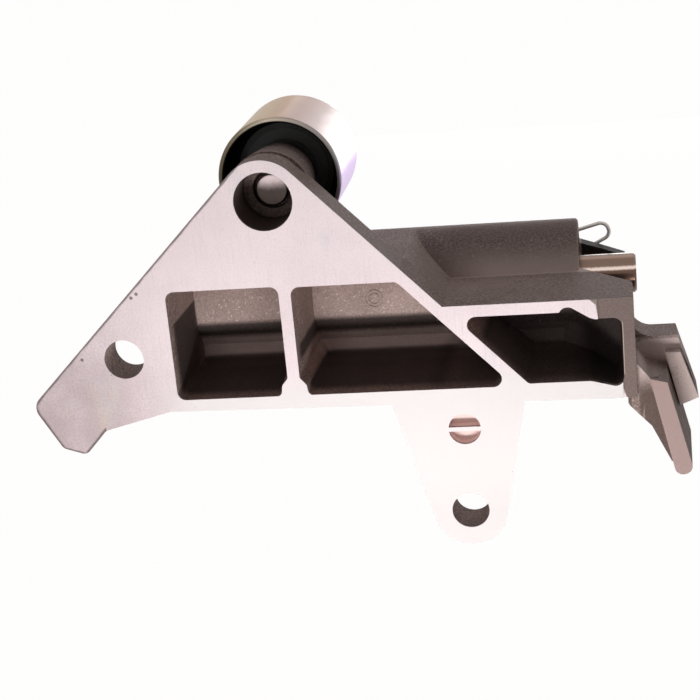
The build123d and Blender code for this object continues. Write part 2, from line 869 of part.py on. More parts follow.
# Rod with the foot that stands on the piston and the blind hole for the lock pin
with BuildPart() as plunger_rod:
    with BuildSketch(damper_section):
        with BuildLine():
            Polyline(
                (foot_x, 0),
                (foot_x, piston_radius),
                (wear_ring_x, piston_radius),
                (wear_ring_x, rod_dia / 2),
                (rod_tip_x - rod_chamfer, rod_dia / 2),
                (rod_tip_x, rod_dia / 2 - rod_chamfer),
                (rod_tip_x, 0),
                close=True,
            )
        make_face()
    revolve(axis=damper_line)
    with BuildSketch(at_depth(belt_plane_y + rod_dia / 2 - pin_bite - pin_end_gap)):
        with Locations((pin_x, damper_z)):
            Circle(pin_dia / 2 + pin_room)
    extrude(amount=-rod_dia, mode=Mode.SUBTRACT)
plunger_rod.part.label = "plunger_rod"
export_step(plunger_rod.part, "parts/plunger_rod.step")

# Ring that guides the rod in the bore
with BuildPart() as wear_ring:
    with BuildSketch(Plane.YZ.offset(wear_ring_x)):
        with Locations((belt_plane_y, damper_z)):
            Circle(bore_dia / 2 - running_fit)
            Circle(rod_dia / 2 + seating_fit, mode=Mode.SUBTRACT)
    extrude(amount=wear_ring_length)
wear_ring.part.label = "wear_ring"
export_step(wear_ring.part, "parts/wear_ring.step")

# Oil seal with its lip towards the oil
with BuildPart() as rod_seal:
    with BuildSketch(damper_section):
        with BuildLine():
            Polyline(
                (rod_seal_x, rod_dia / 2 + running_fit),
                (rod_seal_x, rod_dia / 2 + running_fit + rod_seal_lip),
                (rod_seal_x + rod_seal_lip * 2, rod_dia / 2 + running_fit + rod_seal_lip),
                (rod_seal_x + rod_seal_lip * 2, bore_dia / 2 - rod_seal_lip),
                (rod_seal_x, bore_dia / 2 - rod_seal_lip),
                (rod_seal_x, bore_dia / 2 - seating_fit),
                (seal_circlip_x, bore_dia / 2 - seating_fit),
                (seal_circlip_x, rod_dia / 2 + running_fit),
                close=True,
            )
        make_face()
    revolve(axis=damper_line)
rod_seal.part.label = "rod_seal"
export_step(rod_seal.part, "parts/rod_seal.step")

with BuildPart() as seal_circlip:
    seal_circlip_plane = Plane(origin=(seal_circlip_x, belt_plane_y, damper_z), x_dir=(0, 1, 0), z_dir=(1, 0, 0))
    with BuildSketch(seal_circlip_plane):
        snap_ring_face(bore_dia / 2 + circlip_depth - seating_fit, circlip_wire)
    extrude(amount=circlip_thickness - seating_fit)
seal_circlip.part.label = "seal_circlip"
export_step(seal_circlip.part, "parts/seal_circlip.step")

# Check valve: ball on its seat, spring and the cap that holds them
seat_offset = sqrt((check_ball_dia / 2) ** 2 - (valve_bore_dia / 2) ** 2) + running_fit
check_ball_x = valve_x - seat_offset
with BuildPart() as check_ball:
    with Locations((check_ball_x, belt_plane_y, damper_z)):
        Sphere(check_ball_dia / 2)
check_ball.part.label = "check_ball"
export_step(check_ball.part, "parts/check_ball.step")

cap_radius = valve_recess_dia / 2 - seating_fit
cap_end_x = piston_x - cap_height
with BuildPart() as check_retainer:
    with BuildSketch(damper_section):
        with BuildLine():
            Polyline(
                (cap_end_x, cap_vent_dia / 2),
                (cap_end_x, cap_radius),
                (piston_x - retainer_thickness, cap_radius),
                (piston_x - retainer_thickness, piston_radius - rod_chamfer),
                (piston_x, piston_radius - rod_chamfer),
                (piston_x, cap_radius - retainer_thickness),
                (cap_end_x + retainer_thickness, cap_radius - retainer_thickness),
                (cap_end_x + retainer_thickness, cap_vent_dia / 2),
                close=True,
            )
        make_face()
    revolve(axis=damper_line)
check_retainer.part.label = "check_retainer"
export_step(check_retainer.part, "parts/check_retainer.step")

check_spring_start_x = cap_end_x + retainer_thickness + check_spring_wire / 2 + running_fit
check_spring_radius = cap_vent_dia / 2 + check_spring_wire
ball_reach = sqrt((check_ball_dia / 2 + check_spring_wire / 2) ** 2 - check_spring_radius**2)
check_spring_length = check_ball_x - ball_reach - running_fit - check_spring_start_x
with BuildPart() as check_spring:
    with BuildLine() as check_coil:
        Helix(
            pitch=check_spring_length / check_spring_turns,
            height=check_spring_length,
            radius=check_spring_radius,
            center=(check_spring_start_x, belt_plane_y, damper_z),
            direction=(1, 0, 0),
        )
    with BuildSketch(Plane(origin=check_coil.line @ 0, z_dir=check_coil.line % 0)):
        RegularPolygon(check_spring_wire / 2, wire_sides)
    sweep(path=check_coil.line, is_frenet=True)
check_spring.part.label = "check_spring"
export_step(check_spring.part, "parts/check_spring.step")

# Return spring between the bottom of the bore and the cap's flange
return_spring_start_x = bore_end_x + return_spring_wire / 2 + return_spring_gap
return_spring_end_x = piston_x - retainer_thickness - return_spring_wire / 2 - return_spring_gap
return_spring_length = return_spring_end_x - return_spring_start_x
with BuildPart() as return_spring:
    with BuildLine() as return_coil:
        Helix(
            pitch=return_spring_length / return_spring_turns,
            height=return_spring_length,
            radius=return_spring_dia / 2,
            center=(return_spring_start_x, belt_plane_y, damper_z),
            direction=(1, 0, 0),
        )
    with BuildSketch(Plane(origin=return_coil.line @ 0, z_dir=return_coil.line % 0)):
        RegularPolygon(return_spring_wire / 2, wire_sides)
    sweep(path=return_coil.line, is_frenet=True)
return_spring.part.label = "return_spring"
export_step(return_spring.part, "parts/return_spring.step")

# Lock pin: a straight leg along Y and a loop to pull it by
pin_tip_y = belt_plane_y + rod_dia / 2 - pin_bite
pin_loop_y = belt_plane_y + barrel_radius + pin_stand_off
loop_corner_x = pin_x + pin_loop_reach * cos(radians(pin_loop_angle))
loop_corner_z = damper_z + pin_loop_reach * sin(radians(pin_loop_angle))
nose_angle = (pin_loop_angle + pin_return_angle) / 2
nose_corner_x = loop_corner_x + pin_nose_length * cos(radians(nose_angle))
nose_corner_z = loop_corner_z + pin_nose_length * sin(radians(nose_angle))
with BuildPart() as lock_pin:
    with BuildLine() as wire_line:
        FilletPolyline(
            (pin_x, pin_tip_y, damper_z),
            (pin_x, pin_loop_y, damper_z),
            (loop_corner_x, pin_loop_y, loop_corner_z),
            (nose_corner_x, pin_loop_y, nose_corner_z),
            (
                nose_corner_x + pin_return_length * cos(radians(pin_return_angle)),
                pin_loop_y,
                nose_corner_z + pin_return_length * sin(radians(pin_return_angle)),
            ),
            radius=[pin_bend_radius, pin_nose_radius, pin_nose_radius],
        )
    with BuildSketch(Plane(origin=wire_line.line @ 0, z_dir=wire_line.line % 0)):
        Circle(pin_dia / 2)
    sweep(path=wire_line.line)
lock_pin.part.label = "lock_pin"
export_step(lock_pin.part, "parts/lock_pin.step")
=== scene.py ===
"""Looks of a timing belt damper: die-cast bracket, belt roller, hydraulic plunger and lock pin."""

from functools import cached_property, reduce
from operator import mul

import bmesh
import bpy
from mathutils import Matrix, Vector


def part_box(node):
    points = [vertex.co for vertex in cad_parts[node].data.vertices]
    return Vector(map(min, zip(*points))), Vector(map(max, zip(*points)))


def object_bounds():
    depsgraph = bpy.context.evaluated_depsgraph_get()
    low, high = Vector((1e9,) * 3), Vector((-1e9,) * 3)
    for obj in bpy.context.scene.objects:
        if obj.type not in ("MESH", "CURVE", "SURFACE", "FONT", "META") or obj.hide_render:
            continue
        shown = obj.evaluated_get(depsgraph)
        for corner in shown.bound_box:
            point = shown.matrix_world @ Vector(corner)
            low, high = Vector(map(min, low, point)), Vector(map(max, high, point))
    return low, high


bl_info = {
    "name": "Timing Belt Damper",
    "version": (1, 0, 0),
    "blender": (4, 5, 0),
    "location": "3D View > Sidebar > Damper",
    "description": "Dresses the packed timing belt damper and lights it for a product picture",
    "category": "Object",
}

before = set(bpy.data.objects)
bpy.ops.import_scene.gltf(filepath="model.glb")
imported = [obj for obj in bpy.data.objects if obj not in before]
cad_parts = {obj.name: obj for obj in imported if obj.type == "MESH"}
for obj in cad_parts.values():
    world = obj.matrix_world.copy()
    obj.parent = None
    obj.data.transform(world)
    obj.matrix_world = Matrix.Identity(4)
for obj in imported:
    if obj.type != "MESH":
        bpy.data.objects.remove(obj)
CAD_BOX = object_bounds()
MM = 0.001

# Corners of the plate's left ear, in millimetres along X and Z
TIP = (-24.8, -11.1)
TOE = (-18.5, -22.4)
HEEL = (-12.8, -24.3)
NOTCH = (-7.0, -18.2)
APEX = (23.9, 36.9)

# Slanting ends of the machined face, below and above the right pocket
FOOT_TOP = (118.7, -12.2)
FOOT_END = (120.2, -17.3)
BAND_FOOT = (113.8, 5.1)
BAND_BEND = (113.4, 8.0)
BAND_END = (112.0, 9.3)

# Middles of the roller, of the flange's recess and of three pits in the milled face
ROLLER_AXIS = (38.3, 36.9)
RECESS_AXIS = (81.1, -21.4)
PITS = ((3.8, 15.4), (5.2, 16.3), (-10.5, 0.4))

# Where round masks end, as squared distances from those middles
SEAT_EDGE = (52, 58)
BOSS_EDGE = (104, 110)
RECESS_EDGE = (19, 24)
PIT_EDGE = (0.06, 0.3)

# Zones of the casting. Each axis has two pairs of limits in millimetres: the zone fades in over the
# first pair and out over the second, and None leaves it open.
MILLED = {"Y": (None, (0.1, 0.3))}
POCKET_SIDES = ((11.8, 12.0), (119.4, 119.8))
POCKET_BACK = (28.4, 28.8)
POCKET_FLOOR = (-13.5, -13.0)
SHADED_POCKETS = {"X": POCKET_SIDES, "Y": ((1.0, 6.0), POCKET_BACK), "Z": (POCKET_FLOOR, (6.6, 7.4))}
LIT_BACK = {"X": POCKET_SIDES, "Y": ((20.0, 24.0), POCKET_BACK), "Z": (POCKET_FLOOR, (-4.6, -3.6))}
RIGHT_POCKET = {"X": POCKET_SIDES, "Y": ((0.5, 2.0), POCKET_BACK), "Z": (POCKET_FLOOR, (7.0, 7.4))}
LEFT_POCKETS = {
    "X": ((11.8, 12.0), (92.0, 94.0)),
    "Y": ((5.0, 12.0), POCKET_BACK),
    "Z": ((-11.6, -11.2), (16.3, 16.6)),
}
# Painted shade in the pockets: on the floor, the bulge's lower flank and the left side
FLOOR_SHADE = {"Z": (None, (-9.8, -8.6))}
FLANK_SHADE = {"Z": ((-4.2, -2.6), (-0.4, 1.4))}
SIDE_SHADE = {"X": (None, (12.8, 13.4))}
LONG_RIB = {"Y": (None, (2.55, 2.75))}
SHORT_RIB = {"X": ((127.5, 128.5), None), "Y": ((12.7, 12.9), (13.05, 13.15))}
# Tail web: its middle paled as painted light, its foot darkened as painted shade
TAIL_TOP = {"X": ((122.0, 123.0), None), "Z": ((-16.0, -8.0), (-6.6, -5.9))}
TAIL_FOOT = {"X": ((122.0, 123.0), None), "Z": (None, (-16.0, -10.0))}
SADDLE = {"X": ((70.0, 90.0), None), "Y": ((22.9, 23.4), (29.0, 33.0)), "Z": ((8.4, 8.8), (9.5, 17.0))}
BARREL = {"X": ((70.0, 80.0), None), "Z": ((15.5, 18.0), None)}
SEAT = {"Y": ((0.4, 1.2), (13.0, 13.3))}
BOSS = {"Y": ((10.6, 11.0), None)}
SHOULDER = {"X": ((42.0, 48.0), None), "Y": (None, (10.5, 11.0)), "Z": ((14.0, 20.0), None)}
UNCUT = {"X": ((113.0, 113.6), (122.2, 123.0)), "Y": (None, (0.9, 1.2))}
RIM_WEAR_AND_HIGHLIGHT = {"X": ((119.15, 119.25), (119.4, 119.5)), "Y": (None, (0.9, 1.2)), "Z": ((-10.0, -9.0), (2.6, 3.8))}
FOOT = {"Z": (None, (-11.6, -11.2))}
# Guard behind the rod, painted near-black as shade
GUARD = {"X": ((109.6, 110.2), None), "Y": ((43.0, 44.0), None)}
RECESS = {"Y": ((0.6, 1.0), (3.3, 3.6))}
PAST_BAND = {"X": ((110.0, 111.0), None), "Z": ((5.0, 5.3), None)}

# Slanting limits: the long rib's left edge along X less a share of Z, and the right pocket's painted shade
# and its end painted black as shade, along X less Z
LONG_RIB_TILT = 0.22
LONG_RIB_EDGE = (127.4, 127.9)
END_SHADE_EDGE = (86, 90)
BLACK_EDGE = (82, 86)

# How softly a slanting end fades, and what is added to a distance to put an edge out of reach
FOOT_SOFTNESS = 0.2
BAND_SOFTNESS = 0.15
FAR = 99

# Calibrated view of the photograph: where the camera stands, in metres, and its three directions
CAMERA_PLACE = (0.1184, -0.38374, 0.12784)
CAMERA_RIGHT = (0.98701, 0.13122, -0.09272)
CAMERA_DOWN = (-0.04586, -0.32296, -0.9453)
CAMERA_FORWARD = (-0.15399, 0.93727, -0.31275)
SENSOR_WIDTH = 36  # millimetres
CLIP_START = 0.01

# Lamps: place in metres, width, height, and power as a share of the key light
LAMPS = {
    "low": ((0.065, -0.2, -0.098), 0.16, 0.03, 1.0),
    "front": ((-0.1, -0.8, 0.06), 0.3, 0.3, 1.2),
    "back": ((0.3, 0.45, 0.5), 0.5, 0.5, 1.8),
    "rear": ((0.1, 0.9, 0.0), 0.4, 0.4, 4.0),
}

# Floor: half its width and its depth below the object in metres, and how far it shows white
FLOOR_SIZE = 6.0
FLOOR_DROP = 0.08
FLOOR_GLOW = 0.99


def lit(red, green, blue):
    """Linear colour of the given 0 to 255 screen colour."""
    shares = [part / 255 for part in (red, green, blue)]
    return tuple(s / 12.92 if s <= 0.04045 else ((s + 0.055) / 1.055) ** 2.4 for s in shares)


def centre_of(node):
    """Middle of a node's box at rest."""
    low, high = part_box(node)
    return (Vector(low) + Vector(high)) / 2


class Wired:
    """Output socket of a shader node that can be used in Python sums."""

    def __init__(self, nodes, socket):
        self.nodes = nodes
        self.socket = socket

    def math(self, operation, *values):
        """Adds a maths node that works on the values in the given order."""
        return self.nodes.node("Math", {"operation": operation}, dict(enumerate(values)))

    def __add__(self, other):
        return self.math("ADD", self, other)

    def __sub__(self, other):
        return self.math("SUBTRACT", self, other)

    def __rsub__(self, other):
        return self.math("SUBTRACT", other, self)

    def __mul__(self, other):
        return self.math("MULTIPLY", self, other)

    def __truediv__(self, other):
        return self.math("DIVIDE", self, other)

    __radd__ = __add__
    __rmul__ = __mul__

    def larger(self, other):
        """The larger of two values."""
        return self.math("MAXIMUM", self, other)

    def smaller(self, other):
        """The smaller of two values."""
        return self.math("MINIMUM", self, other)

    def root(self):
        """Square root."""
        return self.math("SQRT", self)


class Nodes:
    """Node tree that is built from a few short calls."""

    def __init__(self, tree):
        self.tree = tree

    def node(self, kind, settings, values, output=0):
        """Adds a node, sets it up, feeds its sockets and returns one of its outputs."""
        node = self.tree.nodes.new("ShaderNode" + kind)
        for key, value in settings.items():
            if key == "stops":
                self.set_stops(node.color_ramp, value)
            else:
                setattr(node, key, value)
        for key, value in values.items():
            self.feed(node.inputs[key], value)
        return Wired(self, node.outputs[output])

    def set_stops(self, ramp, stops):
        """Gives a colour ramp its positions and colours."""
        while len(ramp.elements) < len(stops):
            ramp.elements.new(1.0)
        for element, (position, colour) in zip(ramp.elements, stops):
            element.position = position
            element.color = (*colour, 1.0)

    def feed(self, socket, value):
        """Links a wired value, or sets a plain one."""
        if isinstance(value, Wired):
            self.tree.links.new(value.socket, socket)
        elif hasattr(value, "__len__") and len(value) == 3 and len(socket.default_value) == 4:
            socket.default_value = (*value, 1.0)
        else:
            socket.default_value = value


class Shader(Nodes):
    """One material, with the patterns and masks that its colours are made of."""

    def __init__(self, name):
        self.material = bpy.data.materials.new(name)
        self.material.use_nodes = True
        super().__init__(self.material.node_tree)
        self.surface = self.tree.nodes["Principled BSDF"]
        self.place = self.node("TexCoord", {}, {}, "Object")

    def set(self, **values):
        """Feeds the surface's sockets, named in lower case with underscores."""
        for key, value in values.items():
            name = " ".join(word.capitalize() for word in key.split("_"))
            self.feed(self.surface.inputs[name.replace("Ior", "IOR")], value)

    @cached_property
    def x(self):
        """Position along X in millimetres."""
        return self.node("SeparateXYZ", {}, {0: self.place}, "X") / MM

    @cached_property
    def y(self):
        """Position along Y in millimetres."""
        return self.node("SeparateXYZ", {}, {0: self.place}, "Y") / MM

    @cached_property
    def z(self):
        """Position along Z in millimetres."""
        return self.node("SeparateXYZ", {}, {0: self.place}, "Z") / MM

    def stretched(self, scale):
        """Position with each axis scaled by its own factor."""
        return self.node("Mapping", {}, {"Vector": self.place, "Scale": scale}, "Vector")

    def noise(self, scale, detail=3.0, rough=0.5, place=None):
        """Soft mottling from 0 to 1."""
        values = {"Vector": place or self.place, "Scale": scale, "Detail": detail, "Roughness": rough}
        return self.node("TexNoise", {}, values)

    def specks(self, scale):
        """Distance to the nearest of many scattered points."""
        return self.node("TexVoronoi", {}, {"Vector": self.place, "Scale": scale}, "Distance")

    def inside(self, start, end):
        """Distance in millimetres to the left of the line from start to end, drawn in X and Z."""
        along = (Vector(end) - Vector(start)).normalized()
        return (self.z - start[1]) * along.x - (self.x - start[0]) * along.y

    def away(self, spot):
        """Squared distance in millimetres from a spot given in X and Z."""
        across, up = self.x - spot[0], self.z - spot[1]
        return across * across + up * up

    def ease(self, value, low, high):
        """Goes smoothly from 0 at low to 1 at high."""
        values = {"Value": value, "From Min": low, "From Max": high}
        return self.node("MapRange", {"interpolation_type": "SMOOTHSTEP"}, values)

    def fade(self, value, low, high):
        """Goes smoothly from 1 at low to 0 at high."""
        return 1 - self.ease(value, low, high)

    def zone(self, limits):
        """Goes smoothly from 0 outside a zone to 1 in it."""
        shares = []
        for letter, (start, end) in limits.items():
            place = getattr(self, letter.lower())
            if start:
                shares.append(self.ease(place, *start))
            if end:
                shares.append(self.fade(place, *end))
        return reduce(mul, shares)

    def mix(self, share, first, second):
        """Mixes two numbers."""
        return self.node("Mix", {"data_type": "FLOAT"}, {0: share, 2: first, 3: second})

    def blend(self, share, first, second):
        """Mixes two colours."""
        return self.node("Mix", {"data_type": "RGBA"}, {0: share, 6: first, 7: second}, 2)

    def layers(self, ground, *layers):
        """Lays colours over a ground, each with the share in which it covers what is below."""
        for share, colour in layers:
            ground = self.blend(share, ground, colour)
        return ground

    def ramp(self, value, *stops):
        """Colour read from stops."""
        return self.node("ValToRGB", {"stops": stops}, {0: value})

    def bump(self, height, depth, strength):
        """Normal for a height from 0 to 1 that stands depth metres tall."""
        return self.node("Bump", {}, {"Height": height, "Distance": depth, "Strength": strength})


class CastingShader(Shader):
    """Die-cast aluminium: rough skin, milled face, worn and dirty places."""

    def __init__(self, look):
        super().__init__("cast_aluminium")
        self.look = look
        self.mottle = self.noise(90, 6, 0.6)
        self.cloud = self.noise(38, 4, 0.55)
        self.grain = self.noise(1 / look.grain, 3, 0.6)
        self.faint = self.noise(700, 4, 0.7)
        self.guard = self.zone(GUARD)

    def skin(self):
        """Untouched casting, paler where it has been rubbed, with painted shade in the grain's hollows,
        painted light on its peaks and painted glints, and a finer grain in the left pockets.
        """
        rubbed = self.ease(self.mottle, 0.35, 0.75) * 0.7
        coarse = 1 - self.zone(LEFT_POCKETS) * 0.55
        return self.layers(
            self.blend(rubbed, tuple(self.look.skin), tuple(self.look.skin_light)),
            # Painted shade in the grain's hollows, painted light on its peaks, then fine painted glints
            (self.fade(self.grain, 0.38, 0.52) * coarse * 0.5, lit(96, 80, 76)),
            (self.ease(self.grain, 0.5, 0.62) * coarse * 0.44, lit(208, 185, 177)),
            (self.ease(self.noise(1500, 2), 0.63, 0.7) * 0.6, lit(226, 206, 194)),
        )

    def tail(self, skin):
        """Front edges of the two ribs, paler partly from wear and partly as painted light, and the web
        between them, paled in its middle as painted light and darkened at its foot as painted shade.
        """
        long_rib = self.ease(self.x - self.z * LONG_RIB_TILT, *LONG_RIB_EDGE) * self.zone(LONG_RIB)
        short_rib = self.zone(SHORT_RIB)
        wear_and_light = self.ease(self.grain + self.mottle, 0.55, 0.95) * 0.5 + 0.5
        web = (1 - short_rib) * (1 - long_rib)
        return self.layers(
            skin,
            # Rib fronts: mottled wear, and their paleness is also painted light
            (long_rib * wear_and_light, lit(172, 147, 142)),
            (short_rib * wear_and_light, lit(226, 203, 196)),
            # Web's middle paled: painted light
            (self.zone(TAIL_TOP) * web * 0.9, lit(230, 208, 203)),
            # Web's foot darkened: painted shade
            (self.zone(TAIL_FOOT) * web * 0.85, lit(106, 88, 82)),
        )

    def upper_side(self, skin):
        """Pale saddle, barrel top darkened as painted shade, shaded bolt seat and boss, and the plate's
        shoulder.
        """
        to_roller = self.away(ROLLER_AXIS)
        return self.layers(
            skin,
            (self.zone(SADDLE) * 0.9, lit(246, 222, 214)),
            # Top of the barrel darkened: painted shade of faces that turn up, away from the low light
            (self.zone(BARREL) * 0.5, lit(128, 108, 102)),
            (self.fade(to_roller, *SEAT_EDGE) * self.zone(SEAT) * 0.8, lit(70, 57, 54)),
            (self.fade(to_roller, *BOSS_EDGE) * self.zone(BOSS) * 0.5, lit(58, 46, 45)),
            (self.zone(SHOULDER) * 0.4, lit(104, 78, 70)),
        )

    def right_end(self, skin):
        """Strip that the cutter didn't reach, a pale line on the pocket's rim that is partly wear and
        partly a painted highlight, the milled foot, and the guard painted black as shade.
        """
        uncut = self.zone(UNCUT)
        past_foot = self.fade(self.inside(FOOT_TOP, FOOT_END), -FOOT_SOFTNESS, FOOT_SOFTNESS)
        foot = past_foot * self.zone(FOOT)
        return self.layers(
            skin,
            (uncut * 0.85, lit(112, 96, 91)),
            # Pale line on the pocket's rim: wear and a painted highlight
            (self.zone(RIM_WEAR_AND_HIGHLIGHT) * 0.6, lit(228, 206, 192)),
            (uncut * foot, tuple(self.look.machined)),
            # Guard painted near-black: painted shade
            (self.guard * 0.97, lit(20, 16, 13)),
        )

    def pockets(self, skin):
        """Light on the pockets' backs, painted shade on floor, flank and both ends, the right pocket's end
        painted black as shade, and the recess floor paled as painted light.
        """
        end_shade = self.ease(self.x - self.z, *END_SHADE_EDGE)
        pocket_shade = self.zone(FLOOR_SHADE).larger(self.zone(FLANK_SHADE))
        pocket_shade = pocket_shade.larger(self.zone(SIDE_SHADE)).larger(end_shade)
        # Right pocket's end painted near-black as shade
        black = self.zone(RIGHT_POCKET) * self.ease(self.x - self.z, *BLACK_EDGE)
        return self.layers(
            skin,
            (self.zone(LIT_BACK) * 0.5, lit(222, 198, 192)),
            # Painted shade on the pockets' floor, flank and ends
            (self.zone(SHADED_POCKETS) * pocket_shade * (0.88 - end_shade * 0.2), lit(44, 37, 36)),
            (black * (self.ease(self.x, 106, 113) * 0.5 + 0.3), lit(20, 17, 17)),
            # Recess floor paled: painted light where the lamp leaves it in shade
            (self.fade(self.away(RECESS_AXIS), *RECESS_EDGE) * self.zone(RECESS), lit(238, 214, 209)),
        )

    def face(self):
        """Milled face: clouds, cutter streaks and specks, duller at the left, and a painted reflection
        along the bottom and on the flange.
        """
        dull = self.fade(self.x + self.z * 0.6, -24, 22) * 0.85
        patchy = self.ease(self.mottle + self.cloud * 0.5, 0.5, 0.95) * 0.5 + 0.5
        streaks = self.noise(1.0, 3, 0.6, self.stretched((2400, 1, 90)))
        low_reflection = self.fade(self.z + self.noise(40) * 6, -9, 0) * self.ease(self.x, 2, 20)
        dots = self.fade(self.specks(420), 0.04, 0.09) * self.ease(self.noise(55), 0.58, 0.66)
        return self.layers(
            tuple(self.look.machined),
            (self.ease(self.cloud, 0.4, 0.7) * 0.5, lit(228, 209, 213)),
            (dull * patchy, lit(186, 167, 168)),
            (self.ease(self.noise(64, 5, 0.6), 0.56, 0.7) * 0.35, lit(212, 210, 214)),
            (self.ease(self.noise(52, 3, 0.5), 0.6, 0.72) * 0.25, lit(232, 214, 192)),
            (self.ease(streaks, 0.5, 0.75) * 0.22, lit(196, 180, 184)),
            (self.ease(self.faint, 0.6, 0.72) * 0.3, lit(190, 172, 175)),
            (self.ease(self.grain, 0.44, 0.6) * (dull * 0.3 + 0.09), lit(168, 150, 152)),
            # Near-white band along the bottom and on the flange: painted reflection of light from below
            (low_reflection * 0.85, lit(230, 224, 222)),
            (self.fade(self.z, -46, -30) * 0.5, lit(214, 208, 206)),
            (dots, lit(120, 104, 104)),
        )

    def face_edges(self, face):
        """Ragged dark line painted as shade on the left ear's rounded edge, the cast area past the milled
        band, and single pits.
        """
        slope, toe = self.inside(APEX, TIP), self.inside(TIP, TOE)
        heel = self.inside(TOE, HEEL)
        notch = self.inside(HEEL, NOTCH) + self.ease(self.x, NOTCH[0], NOTCH[0] + 1) * FAR
        ragged = self.noise(260, 3) * 0.5
        corner = slope * toe / (slope + toe)
        # Dark line along the ear's rounded edge: painted shade
        rim = self.fade(slope + ragged, 0.35, 0.75) * 0.5
        for edge, width in ((corner, 0.5), (heel, 0.4), (notch, 0.55)):
            rim = rim.larger(self.fade(edge + ragged, width, width + 0.5) * 0.85)
        band = self.inside(BAND_FOOT, BAND_BEND).smaller(self.inside(BAND_BEND, BAND_END))
        past_band = self.fade(band, -BAND_SOFTNESS, BAND_SOFTNESS) * self.zone(PAST_BAND)
        pits = [(self.fade(self.away(pit), *PIT_EDGE) * 0.8, lit(96, 78, 78)) for pit in PITS]
        return self.layers(face, (rim, lit(104, 88, 88)), (past_band, lit(138, 121, 116)), *pits)


def dress(node, material):
    """Gives a CAD node one material in all its slots."""
    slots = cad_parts[node].material_slots
    for slot in slots:
        slot.material = material


def dress_plainly(name, nodes, scale, first, second, **values):
    """Dresses nodes in a new material that is only mottled, between two screen colours."""
    s = Shader(name)
    s.set(base_color=s.blend(s.noise(scale), lit(*first), lit(*second)), **values)
    for node in nodes:
        dress(node, s.material)
    return s


class CastingLook(bpy.types.PropertyGroup):
    """Colours and grain of the die-cast bracket."""

    skin: bpy.props.FloatVectorProperty(
        name="As-cast skin",
        description="Colour of the untouched casting",
        subtype="COLOR",
        default=lit(160, 138, 132),
    )
    skin_light: bpy.props.FloatVectorProperty(
        name="Rubbed skin",
        description="Colour of the casting's lighter patches",
        subtype="COLOR",
        default=lit(186, 163, 156),
    )
    machined: bpy.props.FloatVectorProperty(
        name="Machined face",
        description="Colour of the milled mounting face",
        subtype="COLOR",
        default=lit(244, 227, 229),
    )
    grain: bpy.props.FloatProperty(
        name="Grain size",
        description="Distance between the skin's grains",
        subtype="DISTANCE",
        unit="LENGTH",
        default=0.5 * MM,
        min=0.05 * MM,
    )


class RollerLook(bpy.types.PropertyGroup):
    """Colours of the plated roller."""

    straw: bpy.props.FloatVectorProperty(
        name="Straw film",
        description="Yellowish plating colour",
        subtype="COLOR",
        default=lit(188, 150, 98),
    )
    steel: bpy.props.FloatVectorProperty(
        name="Bare steel",
        description="Greyish steel colour",
        subtype="COLOR",
        default=lit(130, 108, 104),
    )
    # The lilac and sky films are the plating's colours, and they also carry a painted reflection on the
    # roller's right side
    lilac: bpy.props.FloatVectorProperty(
        name="Lilac film",
        description="Violet interference colour",
        subtype="COLOR",
        default=lit(234, 206, 252),
    )
    sky: bpy.props.FloatVectorProperty(
        name="Sky film",
        description="Bluish interference colour",
        subtype="COLOR",
        default=lit(220, 228, 238),
    )


class StageLook(bpy.types.PropertyGroup):
    """Camera and light of the product picture."""

    lens: bpy.props.FloatProperty(
        name="Lens",
        description="Focal length of the camera",
        subtype="DISTANCE_CAMERA",
        default=88.856,
    )
    key_power: bpy.props.FloatProperty(
        name="Key light",
        description="Power of the low soft light in front",
        unit="POWER",
        default=0.47,
    )
    fill: bpy.props.FloatProperty(
        name="Fill",
        description="Strength of the light from all sides",
        subtype="FACTOR",
        default=0.07,
        min=0.0,
        max=1.0,
    )


class DAMPER_OT_bracket(bpy.types.Operator):
    """Dress the die-cast bracket."""

    bl_idname = "damper.bracket"
    bl_label = "Bracket"

    def execute(self, context):
        s = CastingShader(context.scene.casting_look)
        cut = s.zone(MILLED)
        skin = s.pockets(s.right_end(s.upper_side(s.tail(s.skin()))))
        s.set(
            base_color=s.blend(cut, skin, s.face_edges(s.face())),
            # Metallic only on the guard, whose near-black colour is painted shade
            metallic=s.guard * 0.9,
            roughness=s.mix(cut, 0.66, 0.46),
            normal=s.bump(s.grain * (1 - cut) + s.faint * cut * 0.15, 0.12 * MM, 0.6),
            specular_ior_level=0.15,
        )
        dress("bracket", s.material)
        return {"FINISHED"}


